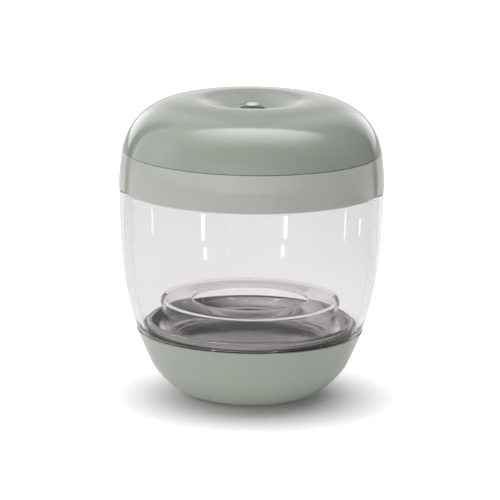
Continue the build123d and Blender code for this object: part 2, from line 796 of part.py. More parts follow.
plunger_foot_z = switch_top_z - press_travel
with BuildPart() as tact_switch:
    block(switch_board_top_z, switch_size, corner=button_clearance * 5)
    ring(
        plunger_foot_z - press_travel - plunger_clearance,
        switch_top_z,
        plunger_radius + plunger_clearance,
        mode=Mode.SUBTRACT,
    )
save(tact_switch.part, "tact_switch")

with BuildPart() as indicator_lights:
    for side in (-1, 1):
        block(switch_board_top_z, indicator_size, (side * indicator_ring, 0), 90)
save(indicator_lights.part, "indicator_lights")

with BuildPart() as switch_plunger:
    ring(plunger_foot_z, flange_z, plunger_radius)
save(switch_plunger.part, "switch_plunger")

with BuildPart() as power_button:
    with BuildSketch(Plane.XZ):
        with BuildLine():
            Polyline(
                (0, button_side_z + button_rise),
                (0, flange_z),
                (button_flange_radius, flange_z),
                (button_flange_radius, flange_top_z),
                (button_radius, flange_top_z),
                (button_radius, button_side_z),
            )
            dome_arc = (button_radius**2 + button_rise**2) / (2 * button_rise)
            half_angle = asin(button_radius / dome_arc) / 2
            arc_middle = (
                dome_arc * sin(half_angle),
                button_side_z + button_rise - dome_arc * (1 - cos(half_angle)),
            )
            ThreePointArc((button_radius, button_side_z), arc_middle, (0, button_side_z + button_rise))
        make_face()
    revolve(axis=Axis.Z)
save(power_button.part, "power_button")
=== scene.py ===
# %% [markdown]
# # A pacifier steriliser case
#
# The case is a stack of turned shapes on one upright axis: a rounded base, a thick clear
# vessel, a band and a domed cover with a dimple and a small lens-like button. The packed
# solids already stand at their real size and place. This file dresses them: the stand, the
# button, the rubber rings and the screws are made again with finer detail, the rest keep
# their solids, and every one gets the finish of its material.

import bpy
import bmesh
import json
import math
from mathutils import Matrix, Vector


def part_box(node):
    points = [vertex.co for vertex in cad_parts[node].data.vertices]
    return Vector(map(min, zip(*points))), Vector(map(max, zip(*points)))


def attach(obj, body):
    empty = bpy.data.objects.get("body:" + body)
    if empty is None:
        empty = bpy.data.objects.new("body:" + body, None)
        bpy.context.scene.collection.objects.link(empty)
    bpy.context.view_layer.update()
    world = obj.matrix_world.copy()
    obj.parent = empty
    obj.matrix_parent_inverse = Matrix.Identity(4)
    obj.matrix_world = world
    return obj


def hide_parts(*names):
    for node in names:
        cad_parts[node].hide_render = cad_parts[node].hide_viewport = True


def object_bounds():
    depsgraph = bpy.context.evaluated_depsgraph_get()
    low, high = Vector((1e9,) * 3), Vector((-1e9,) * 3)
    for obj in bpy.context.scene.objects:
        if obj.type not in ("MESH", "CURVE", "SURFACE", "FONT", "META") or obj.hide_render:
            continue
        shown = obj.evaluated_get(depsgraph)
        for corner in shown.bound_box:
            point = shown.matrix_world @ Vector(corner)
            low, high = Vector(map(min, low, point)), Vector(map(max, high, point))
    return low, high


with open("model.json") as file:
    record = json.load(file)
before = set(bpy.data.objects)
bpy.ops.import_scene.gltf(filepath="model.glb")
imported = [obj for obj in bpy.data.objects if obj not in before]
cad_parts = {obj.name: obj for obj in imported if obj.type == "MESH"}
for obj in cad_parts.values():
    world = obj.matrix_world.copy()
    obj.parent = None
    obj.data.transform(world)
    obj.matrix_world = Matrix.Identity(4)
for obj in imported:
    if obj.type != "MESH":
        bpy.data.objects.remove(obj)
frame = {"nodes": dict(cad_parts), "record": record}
nodes = frame["nodes"]
cad_low, cad_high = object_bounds()
MM = 0.001
print("solids:", len(nodes), "height in mm:", round((cad_high.z - cad_low.z) / MM, 1))

# %% [markdown]
# ## Sizes
#
# Places and outer sizes come from the solids' own corners, so the new pieces follow them.

# %% Sizes read from the solids
band_low, band_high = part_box("lid_housing")
stand_low, stand_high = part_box("pacifier_stand")
ring_low, ring_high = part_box("foot_ring")
button_low, button_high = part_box("power_button")
seal_low, seal_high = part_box("lid_seal")

edge_z = band_low.z
print("lid radius in mm:", round(band_high.x / MM, 2), "lid edge at:", round(edge_z / MM, 2))


def least_radius(node):
    """Radius of the hole through a ring-shaped solid."""
    return min(math.hypot(v.co.x, v.co.y) for v in nodes[node].data.vertices)


print("seal's hole in mm:", round(least_radius("lid_seal") / MM, 2))

# %% [markdown]
# ## Camera
#
# A long lens from more than a metre away, a little above the lid's edge. At that distance
# the upright walls stay upright and the rings read as slim ellipses. The aim is set by
# turning the camera, so no lens shift is needed, and the last small turn about its own
# axis tips the horizon by less than a degree.

# %% Camera
camera_distance = 1.188
camera_elevation = math.radians(11.8)
aim_below = math.radians(0.927)
aim_left = math.radians(0.012)
camera_roll = math.radians(0.75)
lens_length = 284.1

camera_data = bpy.data.cameras.new("camera")
camera_data.sensor_width = 36.0
camera_data.lens = lens_length
camera_data.clip_end = 20.0
camera = bpy.data.objects.new("camera", camera_data)
bpy.context.scene.collection.objects.link(camera)
tilt = camera_elevation + aim_below
forward = Vector(
    (-math.sin(aim_left) * math.cos(tilt), math.cos(aim_left) * math.cos(tilt), -math.sin(tilt))
)
camera_place = Vector(
    (
        0.0,
        -camera_distance * math.cos(camera_elevation),
        edge_z + camera_distance * math.sin(camera_elevation),
    )
)
facing = forward.to_track_quat("-Z", "Y").to_matrix().to_4x4()
camera_turn = facing @ Matrix.Rotation(camera_roll, 4, "Z")
camera.matrix_world = Matrix.Translation(camera_place) @ camera_turn
bpy.context.scene.camera = camera
print("camera stands at:", [round(c, 3) for c in camera_place])

# %% [markdown]
# ## Light
#
# Glossy plastic is drawn by what it mirrors. A wide softbox overhead makes the bright patch
# on the front of the dome, and a larger and dimmer one on the left lights that side. Slim
# strips close to the case light the clear vessel alone and leave its upright white lines.
# The world fills in: white where the camera looks straight at it or through the clear
# parts, and uneven in reflections, so the shell keeps its form.
#
# The helpers below add nodes to any shader tree. A smooth step goes from one value to
# another between two places, which are given as a pair.

# %% Node helpers
def wire(tree, source, socket, target, name):
    """Join an output of one node to an input of another."""
    tree.links.new(source.outputs[socket], target.inputs[name])


def maths(tree, operation, *values):
    """A maths node; a value is a number or a (node, socket) pair."""
    node = tree.nodes.new("ShaderNodeMath")
    node.operation = operation
    for place, value in enumerate(values):
        if isinstance(value, tuple):
            wire(tree, *value, node, place)
        else:
            node.inputs[place].default_value = value
    return node, "Value"


def smooth_step(tree, source, step, start, end):
    """Smooth change from start to end along a pair of places; both may be pairs."""
    node = tree.nodes.new("ShaderNodeMapRange")
    node.interpolation_type = "SMOOTHSTEP"
    wire(tree, *source, node, "Value")
    node.inputs["From Min"].default_value, node.inputs["From Max"].default_value = step
    for name, value in (("To Min", start), ("To Max", end)):
        if isinstance(value, tuple):
            wire(tree, *value, node, name)
        else:
            node.inputs[name].default_value = value
    return node, "Result"


def straight_view(tree):
    """The light paths; if a ray is looked along; if it was mirrored; if it is and wasn't."""
    paths = tree.nodes.new("ShaderNodeLightPath")
    looked_at = maths(tree, "MAXIMUM", (paths, "Is Camera Ray"), (paths, "Is Transmission Ray"))
    mirrored = maths(tree, "GREATER_THAN", (paths, "Glossy Depth"), 0.5)
    straight = maths(tree, "MULTIPLY", looked_at, maths(tree, "SUBTRACT", 1.0, mirrored))
    return paths, looked_at, mirrored, straight


# %% [markdown]
# ### World
#
# The world is one grey level that changes with the direction: brighter at the left than at
# the right, with a bright backdrop behind that fades at its edges and in its middle. Steps
# are in parts of a direction of length one, to the right, to the back and upwards. Round
# the horizon they go by the cosine of the angle from the back.

# %% World levels
# levels, and shares that take part of a level away
left_level = 1.12
right_level = 0.05
front_extra = 0.80
front_high_share = 0.60
back_level = 1.60
back_high_level = 1.00
back_middle_share = 0.52
back_rim_share = 0.50
back_right_share = 0.75
zenith_share = 0.74

# steps to the right, to the back and upwards
side_step = (-0.8, 0.8)
front_step = (-1.0, -0.5)
front_high_step = (0.35, 0.65)
front_only_step = (-0.45, -0.05)
back_right_step = (0.3, 0.6)
back_high_step = (0.08, 0.45)
zenith_step = (0.05, 0.60)

# steps round the horizon
back_edge_step = (0.71, 0.77)
back_rim_step = (0.74, 0.92)
back_middle_step = (0.95, 0.995)
print("world left, right and back:", left_level, right_level, back_level)

# %% World
world = bpy.data.worlds.new("studio")
bpy.context.scene.world = world
world.use_nodes = True
sky = world.node_tree
sky.nodes.clear()
direction = sky.nodes.new("ShaderNodeTexCoord")
split = sky.nodes.new("ShaderNodeSeparateXYZ")
wire(sky, direction, "Generated", split, "Vector")
to_right, to_back, upward = (split, "X"), (split, "Y"), (split, "Z")
squares = [maths(sky, "POWER", part, 2.0) for part in (to_right, to_back)]
level_reach = maths(sky, "SQRT", maths(sky, "ADD", *squares))
round_to_back = maths(sky, "DIVIDE", to_back, level_reach)
sides = smooth_step(sky, to_right, side_step, left_level, right_level)
front = smooth_step(sky, to_back, front_step, front_extra, 0.0)
sides = maths(sky, "ADD", sides, front)
behind = smooth_step(sky, upward, back_high_step, back_level, back_high_level)
for source, step, start, end in (
    (round_to_back, back_middle_step, 1.0, back_middle_share),
    (round_to_back, back_rim_step, back_rim_share, 1.0),
    (to_right, back_right_step, 1.0, back_right_share),
):
    behind = maths(sky, "MULTIPLY", behind, smooth_step(sky, source, step, start, end))
studio_level = smooth_step(sky, round_to_back, back_edge_step, sides, behind)
front_high = smooth_step(sky, upward, front_high_step, 1.0, front_high_share)
for share in (
    smooth_step(sky, upward, zenith_step, 1.0, zenith_share),
    smooth_step(sky, to_back, front_only_step, front_high, 1.0),
):
    studio_level = maths(sky, "MULTIPLY", studio_level, share)
shown = sky.nodes.new("ShaderNodeMix")
shown.data_type = "FLOAT"
*_, straight = straight_view(sky)
wire(sky, *straight, shown, "Factor")
wire(sky, *studio_level, shown, "A")
shown.inputs["B"].default_value = 1.0
backdrop = sky.nodes.new("ShaderNodeBackground")
backdrop.inputs["Color"].default_value = (1.0, 1.0, 1.0, 1.0)
wire(sky, shown, "Result", backdrop, "Strength")
world_out = sky.nodes.new("ShaderNodeOutputWorld")
wire(sky, backdrop, "Background", world_out, "Surface")
print("world:", world.name, "nodes:", len(sky.nodes))

# %% [markdown]
# ### Softboxes and strips
#
# Each lamp is a rectangle that fades towards its edges, so its reflection is soft. The
# strips stand within ten centimetres of the vessel and below its middle, because its wall
# leans and mirrors what is low and near.

# %% Softboxes
def softbox(name, place, aim, wide, high, power, edge, tail=0.0):
    """A rectangular lamp that faces a point and fades towards its edges, longer at the tail."""
    lamp = bpy.data.lights.new(name, "AREA")
    lamp.shape = "RECTANGLE"
    lamp.size = wide
    lamp.size_y = high
    lamp.energy = power
    lamp.use_nodes = True
    tree = lamp.node_tree
    spot = tree.nodes.new("ShaderNodeNewGeometry")
    across = tree.nodes.new("ShaderNodeSeparateXYZ")
    wire(tree, spot, "Parametric", across, "Vector")
    off = maths(tree, "ABSOLUTE", maths(tree, "SUBTRACT", (across, "X"), 0.5))
    sideways = smooth_step(tree, off, (0.5 * (1.0 - edge), 0.5), 1.0, 0.0)
    near = smooth_step(tree, (across, "Y"), (0.0, max(tail, 0.5 * edge)), 0.0, 1.0)
    head = 0.5 * min(edge, 0.3)  # the fade at the other end stays short
    far = smooth_step(tree, (across, "Y"), (1.0 - head, 1.0), 1.0, 0.0)
    fade = maths(tree, "MULTIPLY", sideways, maths(tree, "MULTIPLY", near, far))
    wire(tree, *fade, tree.nodes["Emission"], "Strength")
    holder = bpy.data.objects.new(name, lamp)
    bpy.context.scene.collection.objects.link(holder)
    way = Vector(aim) - Vector(place)
    turn = way.to_track_quat("-Z", "Y").to_matrix().to_4x4()
    holder.matrix_world = Matrix.Translation(place) @ turn
    return holder


# %% Lamps
softbox(
    "softbox_top",
    place=(0.07, -0.14, 0.75),
    aim=(0.07, -0.14, edge_z),
    wide=1.40,
    high=0.72,
    power=16.5,
    edge=0.90,
    tail=0.90,
)
softbox(
    "softbox_left",
    place=(-1.30, 0.0, 0.45),
    aim=(0.0, 0.0, edge_z),
    wide=1.30,
    high=1.10,
    power=2.6,
    edge=1.0,
)

clear_only = bpy.data.collections.new("clear_only")
clear_only.objects.link(nodes["clear_vessel"])
strip_edge = 0.3
# name, place to the right and to the back, lower and upper end, width, power to a square metre
for name, right, back, low, high, wide, brightness in (
    ("strip_left", -0.070, -0.098, 0.030, 0.042, 0.0065, 30.0),
    ("strip_left_low", -0.067, -0.100, 0.022, 0.0285, 0.0065, 30.0),
    ("strip_right", 0.051, -0.109, 0.032, 0.042, 0.0070, 30.0),
    ("strip_right_low", 0.048, -0.110, 0.025, 0.0305, 0.0065, 30.0),
    ("strip_far_left", -0.119, -0.016, 0.029, 0.040, 0.0060, 9.0),
    ("strip_far_right", 0.117, -0.028, 0.028, 0.040, 0.0050, 14.0),
    ("strip_edge_right", 0.120, 0.010, 0.029, 0.036, 0.0050, 14.0),
):
    half_way = 0.5 * (low + high)
    power = brightness * wide * (high - low)
    place, aim = (right, back, half_way), (0.0, 0.0, half_way)
    strip = softbox(name, place, aim, wide, high - low, power, strip_edge)
    strip.visible_camera = False
    strip.light_linking.receiver_collection = clear_only

# %% [markdown]
# ### Panels
#
# Two narrow black panels stand beside the case, a little behind it. A glossy wall mirrors
# each as one dark upright line near its edge, which draws the outline of a pale object on
# white. They are there for reflections alone. A larger turn, from the back towards the
# side, brings the line closer to the middle.

# %% Black panels
panel_reach = 0.20  # from the upright axis
panel_foot = 0.022
panel_high = 0.24
panel_spread = 1.6  # the top is this much wider than the foot
panel_black = (0.012, 0.012, 0.012, 1.0)
black = bpy.data.materials.new("panel_black")
black.use_nodes = True
black_shader = black.node_tree.nodes["Principled BSDF"]
black_shader.inputs["Base Color"].default_value = panel_black
black_shader.inputs["Roughness"].default_value = 0.9
panels = []
# name, side, turn from the back in degrees, width at the foot
for name, side, turn, panel_wide in (
    ("panel_left", -1.0, 53.0, 0.032),
    ("panel_right", 1.0, 55.0, 0.030),
):
    sine, cosine = math.sin(math.radians(turn)), math.cos(math.radians(turn))
    foot_half = Vector((side * cosine, -sine, 0.0)) * 0.5 * panel_wide
    top_half = foot_half * panel_spread
    spot = Vector((side * sine * panel_reach, cosine * panel_reach, panel_foot))
    top = spot + Vector((0.0, 0.0, panel_high))
    corners = [spot - foot_half, spot + foot_half, top + top_half, top - top_half]
    mesh = bpy.data.meshes.new(name)
    mesh.from_pydata(corners, [], [(0, 1, 2, 3)])
    mesh.materials.append(black)
    panel = bpy.data.objects.new(name, mesh)
    bpy.context.scene.collection.objects.link(panel)
    panel.visible_camera = False
    panel.visible_diffuse = False
    panel.visible_shadow = False
    panel.visible_transmission = False
    panels.append(panel)
print("panels:", len(panels))

# %% [markdown]
# ## Floor
#
# One plain sheet. It is a matt white that takes the shadow, with a little light of its own
# where it is looked at straight or through the clear walls, so it reaches white everywhere
# but close to the base; round the shadow's middle that glow is left out, which paints the
# shadow's shape. Next to the case it also has a painted glow that only lights other surfaces,
# which lifts the underside of the base, and in reflections its right side is painted dim.

# %% Floor sheet
floor_reach = 6.0
floor_mesh = bpy.data.meshes.new("floor")
signs = ((-1, -1), (1, -1), (1, 1), (-1, 1))
corners = [(floor_reach * x, floor_reach * y, cad_low.z) for x, y in signs]
floor_mesh.from_pydata(corners, [], [(0, 1, 2, 3)])
floor = bpy.data.objects.new("floor", floor_mesh)
bpy.context.scene.collection.objects.link(floor)
print("floor at z in mm:", round(cad_low.z / MM, 2))

# %% Floor finish
floor_seen = 0.72  # paint where it is looked at straight or through the clear walls
floor_bounce = 0.92  # paint for the light that it throws back
floor_mirrored = 0.85  # paint in reflections
# in reflections the floor's right side is painted dim, a painted shade
mirrored_right = 0.10  # how much of that the right side keeps
right_step = (0.08, 0.28)
right_back_step = (0.06, 0.18)  # behind this the right side is as bright as the rest
floor_glow = 0.60
clear_share = 0.60  # of that glow, what the clear walls show
# the glow is left out round this middle, set forward and to the right, which paints the
# shadow's shape
glow_step = (0.013, 0.057)  # from the middle of the shadow
shadow_forward = 0.009  # how far that middle lies in front of the axis
shadow_right = 0.001
# a painted glow that lights other surfaces next to the case and lifts the base's underside
painted_glow_level = 0.32  # light that the floor close to the case throws up
painted_glow_step = (0.032, 0.090)

sheet = bpy.data.materials.new("floor_white")
sheet.use_nodes = True
tree = sheet.node_tree
tree.nodes.clear()
paths, looked_at, mirrored, straight = straight_view(tree)
place = tree.nodes.new("ShaderNodeTexCoord")
split = tree.nodes.new("ShaderNodeSeparateXYZ")
wire(tree, place, "Object", split, "Vector")

paint_level = maths(tree, "MULTIPLY_ADD", straight, floor_seen - floor_bounce, floor_bounce)
in_mirror = maths(tree, "MAXIMUM", looked_at, (paths, "Is Glossy Ray"))
in_mirror = maths(tree, "MULTIPLY", in_mirror, mirrored)
right_share = smooth_step(tree, (split, "X"), right_step, 1.0, mirrored_right)
right_share = smooth_step(tree, (split, "Y"), right_back_step, right_share, 1.0)
mirror_change = maths(tree, "MULTIPLY_ADD", right_share, floor_mirrored, -floor_bounce)
mirror_change = maths(tree, "MULTIPLY", mirror_change, in_mirror)
paint_level = maths(tree, "ADD", mirror_change, paint_level)
paint = tree.nodes.new("ShaderNodeCombineColor")
for channel in ("Red", "Green", "Blue"):
    wire(tree, *paint_level, paint, channel)
matt_sheet = tree.nodes.new("ShaderNodeBsdfDiffuse")
wire(tree, paint, "Color", matt_sheet, "Color")

moved = tree.nodes.new("ShaderNodeVectorMath")
moved.operation = "ADD"
moved.inputs[1].default_value = (-shadow_right, shadow_forward, 0.0)
wire(tree, place, "Object", moved, 0)
reach = tree.nodes.new("ShaderNodeVectorMath")
reach.operation = "LENGTH"
wire(tree, moved, "Vector", reach, 0)
glow = smooth_step(tree, (reach, "Value"), glow_step, 0.0, floor_glow)
through = maths(tree, "MULTIPLY", straight, clear_share)
glow_share = maths(tree, "MAXIMUM", (paths, "Is Camera Ray"), through)
glow = maths(tree, "MULTIPLY", glow_share, glow)
fill = smooth_step(tree, (reach, "Value"), painted_glow_step, painted_glow_level, 0.0)
glow = maths(tree, "MULTIPLY_ADD", fill, (paths, "Is Diffuse Ray"), glow)
sheet_glow = tree.nodes.new("ShaderNodeEmission")
wire(tree, *glow, sheet_glow, "Strength")

both = tree.nodes.new("ShaderNodeAddShader")
wire(tree, matt_sheet, "BSDF", both, 0)
wire(tree, sheet_glow, "Emission", both, 1)
sheet_out = tree.nodes.new("ShaderNodeOutputMaterial")
wire(tree, both, "Shader", sheet_out, "Surface")
floor_mesh.materials.append(sheet)
print("floor finish:", sheet.name, "nodes:", len(tree.nodes))

# %% [markdown]
# ## Finishes
#
# Each finish is a node tree on Object coordinates, in metres, so a grain of a tenth of a
# millimetre is the same on every piece. One helper sets up the shader. The others add what
# nearly every moulded or turned surface has: colour that drifts a little, gloss that isn't
# even, and a fine grain or a gentle waviness in the surface.

# %% Helpers for finishes
def finish_base(name, colour, roughness, **sockets):
    """A material with a shader whose sockets hold plain values."""
    material = bpy.data.materials.new(name)
    material.use_nodes = True
    tree = material.node_tree
    shader = tree.nodes["Principled BSDF"]
    shader.inputs["Base Color"].default_value = (*colour, 1.0)
    shader.inputs["Roughness"].default_value = roughness
    for socket, value in sockets.items():
        shader.inputs[socket.replace("_", " ")].default_value = value
    place = tree.nodes.new("ShaderNodeTexCoord")
    place.name = "place"
    return material, tree, shader


def noise(tree, scale, detail=2.0, stretch=(1.0, 1.0, 1.0)):
    """Noise on Object coordinates, one cell to 1/scale metres."""
    mapping = tree.nodes.new("ShaderNodeMapping")
    mapping.inputs["Scale"].default_value = stretch
    wire(tree, tree.nodes["place"], "Object", mapping, "Vector")
    texture = tree.nodes.new("ShaderNodeTexNoise")
    texture.inputs["Scale"].default_value = scale
    texture.inputs["Detail"].default_value = detail
    wire(tree, mapping, "Vector", texture, "Vector")
    return texture


def mix_colours(tree, share, first, second):
    """Mix of two colours by a share; each is a colour or a (node, socket) pair."""
    mix = tree.nodes.new("ShaderNodeMix")
    mix.data_type = "RGBA"
    wire(tree, *share, mix, "Factor")
    for name, value in (("A", first), ("B", second)):
        if isinstance(value[-1], str):
            wire(tree, *value, mix, name)
        else:
            mix.inputs[name].default_value = (*value, 1.0)
    return mix, "Result"


def drift_colour(tree, shader, scale, colour, spread):
    """Let the colour drift by a share of itself, up and down."""
    darker = [c * (1.0 - spread) for c in colour]
    paler = [min(1.0, c * (1.0 + spread)) for c in colour]
    drift = mix_colours(tree, (noise(tree, scale), "Fac"), darker, paler)
    wire(tree, *drift, shader, "Base Color")


def drift_gloss(tree, shader, scale, low, high):
    """Let the roughness drift between two values."""
    span = tree.nodes.new("ShaderNodeMapRange")
    span.inputs["From Min"].default_value = 0.3
    span.inputs["From Max"].default_value = 0.7
    span.inputs["To Min"].default_value = low
    span.inputs["To Max"].default_value = high
    wire(tree, noise(tree, scale, detail=1.0), "Fac", span, "Value")
    wire(tree, span, "Result", shader, "Roughness")


def reach_out(tree):
    """Distance from the upright axis, on Object coordinates."""
    spread = tree.nodes.new("ShaderNodeSeparateXYZ")
    wire(tree, tree.nodes["place"], "Object", spread, "Vector")
    squares = [maths(tree, "POWER", (spread, axis), 2.0) for axis in ("X", "Y")]
    return maths(tree, "SQRT", maths(tree, "ADD", *squares))


def relief(tree, shader, height_node, socket, depth, strength):
    """Press a height pattern into the surface, depth in metres."""
    bump = tree.nodes.new("ShaderNodeBump")
    bump.inputs["Strength"].default_value = strength
    bump.inputs["Distance"].default_value = depth
    wire(tree, height_node, socket, bump, "Height")
    if shader.inputs["Normal"].is_linked:
        earlier = shader.inputs["Normal"].links[0].from_node
        tree.links.new(earlier.outputs["Normal"], bump.inputs["Normal"])
    wire(tree, bump, "Normal", shader, "Normal")


# %% [markdown]
# ### Shell
#
# The shell is moulded in one sage grey, but its three parts get three colours that paint
# their light: the band's is painted lighter and the cover's darker. The band and the base
# come out of the tool with a fine satin grain, and the cover is polished, so it mirrors the
# softbox. The polished skin still has a slow waviness from the shrinking plastic. A clear
# coat carries the reflections of all three, over a body that shines little itself.

# %% Shell plastics
# one plastic in three colours: the band's is painted lighter and the cover's darker, painted
# light and shade
band_colour_painted_lighter = (0.455, 0.472, 0.426)
cover_colour_painted_darker = (0.298, 0.328, 0.284)
base_colour = (0.325, 0.355, 0.309)
body_shine = 0.1


def moulded(name, colour, rough_low, rough_high, grain, coat_roughness):
    """Moulded plastic under a clear coat, with a grain this deep, in metres."""
    coat = {"Coat_Weight": 1.0, "Coat_Roughness": coat_roughness}
    material, tree, shader = finish_base(
        name, colour, rough_low, Specular_IOR_Level=body_shine, **coat
    )
    drift_colour(tree, shader, scale=60.0, colour=colour, spread=0.015)
    drift_gloss(tree, shader, 35.0, rough_low, rough_high)
    relief(tree, shader, noise(tree, 5200.0), "Fac", grain, strength=0.5)
    return material, tree, shader


band_plastic, *_ = moulded("band_plastic", band_colour_painted_lighter, 0.20, 0.26, 0.002 * MM, 0.04)
base_plastic, *_ = moulded("base_plastic", base_colour, 0.26, 0.34, 0.003 * MM, 0.09)
dome_plastic, tree, shader = moulded("dome_plastic", cover_colour_painted_darker, 0.16, 0.22, 0.002 * MM, 0.05)
slow_wave = noise(tree, 90.0, detail=1.0)
relief(tree, shader, slow_wave, "Fac", 0.05 * MM, strength=0.4)
print("shell finishes:", band_plastic.name, base_plastic.name, dome_plastic.name)

# %% [markdown]
# ### Clear parts
#
# The vessel and the stand are clear moulded plastic with faint flow lines up their walls,
# which show as a slight waver in what is seen through them. The walls bend light very
# little, so they stay pale where they are thick, and a clear coat with the index of acrylic
# mirrors the room. The coat counts where light enters a wall. Light that leaves one gets
# none, and the bore gets only a share of it, so each strip shows once.

# %% Clear plastics
coat_index = 1.49
vessel_index = 1.06
stand_index = 1.045
quartz_index = 1.46
vessel_tint = (0.852, 0.840, 0.844)
stand_tint = (0.98, 0.97, 0.97)


def clear(name, tint, ior, wave_depth, **sockets):
    """Clear moulded plastic with faint flow lines up the wall."""
    material, tree, shader = finish_base(
        name, tint, 0.0, IOR=ior, Transmission_Weight=1.0, **sockets
    )
    drift_gloss(tree, shader, scale=300.0, low=0.0, high=0.015)
    flow = noise(tree, 120.0, detail=1.0, stretch=(1.0, 1.0, 0.25))
    relief(tree, shader, flow, "Fac", wave_depth, strength=0.3)
    return material


def coat_outside(material, bore_share):
    """Keep the coat where light enters the walls, with a share of it in the bore."""
    tree = material.node_tree
    side = tree.nodes.new("ShaderNodeNewGeometry")
    entering = maths(tree, "SUBTRACT", 1.0, (side, "Backfacing"))
    level = tree.nodes.new("ShaderNodeVectorMath")
    level.operation = "MULTIPLY"
    level.inputs[1].default_value = (1.0, 1.0, 0.0)
    wire(tree, tree.nodes["place"], "Object", level, 0)
    outward = tree.nodes.new("ShaderNodeVectorMath")
    outward.operation = "DOT_PRODUCT"
    wire(tree, level, "Vector", outward, 0)
    wire(tree, tree.nodes["place"], "Normal", outward, 1)
    share = maths(tree, "GREATER_THAN", (outward, "Value"), 0.0)
    share = maths(tree, "MULTIPLY_ADD", share, 1.0 - bore_share, bore_share)
    shader = tree.nodes["Principled BSDF"]
    wire(tree, *maths(tree, "MULTIPLY", entering, share), shader, "Coat Weight")


coat = {"Coat_Weight": 1.0, "Coat_IOR": coat_index}
clear_plastic = clear(
    "clear_plastic", vessel_tint, vessel_index, 0.008 * MM, Coat_Roughness=0.0, **coat
)
stand_plastic = clear(
    "stand_plastic", stand_tint, stand_index, 0.008 * MM, Coat_Roughness=0.06, **coat
)
coat_outside(clear_plastic, bore_share=0.2)
coat_outside(stand_plastic, bore_share=1.0)
quartz = clear("quartz", (0.99, 0.99, 1.0), quartz_index, 0.0)
for node in ("clear_vessel", "pacifier_stand"):
    nodes[node].visible_shadow = False
print("clear finishes:", clear_plastic.name, stand_plastic.name, quartz.name)

# %% [markdown]
# ### Button finish
#
# The button's colour paints its light: the pale middle is a painted highlight of the softbox
# above, and the dark ring round it is a painted dark reflection. One material does both: its
# colour changes at the lens's edge, nearly two millimetres out.

# %% Button finish
lens_radius = 1.9 * MM
painted_highlight_blend = 1.1  # the colours have changed over at this much of that radius
# the pale middle is a painted highlight, the dark ring a painted dark reflection
lens_painted_highlight = (0.60, 0.64, 0.585)
ring_painted_dark_reflection = (0.030, 0.033, 0.030)
button_painted_light, tree, shader = finish_base(
    "button_painted_light", lens_painted_highlight, 0.12, Coat_Weight=1.0, Coat_Roughness=0.03
)
painted_highlight_step = (lens_radius, painted_highlight_blend * lens_radius)
outside_painted_highlight = smooth_step(tree, reach_out(tree), painted_highlight_step, 0.0, 1.0)
wire(tree, *mix_colours(tree, outside_painted_highlight, lens_painted_highlight, ring_painted_dark_reflection), shader, "Base Color")
drift_gloss(tree, shader, scale=300.0, low=0.10, high=0.16)
relief(tree, shader, noise(tree, 2500.0), "Fac", 0.002 * MM, strength=0.4)
print("button finish:", button_painted_light.name)

# %% [markdown]
# ### Metals
#
# The bowl is plastic with a dark metallised skin, which throws the lamp's light back up. Its
# colour goes from a painted dark reflection in the middle to a painted pale reflection on the
# slope, and is dark again at the rim, which is painted shade. The mirror over the chamber is
# polished sheet. Screws are drawn steel.

# %% Metals
# painted light on the bowl: the dark middle and the pale slope paint its reflections, the dark
# rim paints shade
bowl_painted_dark_middle = (0.34, 0.334, 0.322)
bowl_painted_pale_slope = (0.76, 0.75, 0.74)
bowl_rim_painted_shade = (0.36, 0.353, 0.343)
painted_slope_step = (4.0 * MM, 27.5 * MM)
painted_rim_shade_step = (27.5 * MM, 30.2 * MM)


def metal(name, colour, rough_low, rough_high, lines):
    """Metal with faint lines in its gloss, as many as lines to a metre."""
    material, tree, shader = finish_base(name, colour, rough_low, Metallic=1.0)
    drift_colour(tree, shader, scale=80.0, colour=colour, spread=0.03)
    drift_gloss(tree, shader, lines, rough_low, rough_high)
    relief(tree, shader, noise(tree, lines * 2.0), "Fac", 0.004 * MM, strength=0.4)
    return material


bowl_metallised = metal("bowl_metallised", bowl_painted_dark_middle, 0.10, 0.15, lines=500.0)
tree = bowl_metallised.node_tree
shader = tree.nodes["Principled BSDF"]
skin = (shader.inputs["Base Color"].links[0].from_node, "Result")
for step, colour in ((painted_slope_step, bowl_painted_pale_slope), (painted_rim_shade_step, bowl_rim_painted_shade)):
    share = smooth_step(tree, reach_out(tree), step, 0.0, 1.0)
    skin = mix_colours(tree, share, skin, colour)
wire(tree, *skin, shader, "Base Color")
mirror_metal = metal("mirror_metal", (0.86, 0.86, 0.87), 0.04, 0.09, lines=700.0)
steel = metal("steel", (0.62, 0.62, 0.63), 0.22, 0.34, lines=2600.0)
foil_silver = metal("foil_silver", (0.75, 0.75, 0.76), 0.25, 0.42, lines=900.0)
metals = (bowl_metallised, mirror_metal, steel, foil_silver)
print("metals:", [metal_finish.name for metal_finish in metals])

# %% [markdown]
# ### Rubber, boards and small parts
#
# Silicone is matt with a soft sheen. The circuit boards are a green lacquer over copper
# tracks, which stand a few hundredths of a millimetre proud. Chips and connectors are dull
# black epoxy with a fine grain.

# %% Rubber and plain electrical finishes
def matt(name, colour, roughness, grain_scale, grain_depth):
    """A dull surface with a grain of its own."""
    material, tree, shader = finish_base(name, colour, roughness)
    drift_colour(tree, shader, scale=150.0, colour=colour, spread=0.05)
    drift_gloss(tree, shader, 500.0, roughness - 0.05, roughness + 0.05)
    relief(tree, shader, noise(tree, grain_scale), "Fac", grain_depth, strength=0.5)
    return material


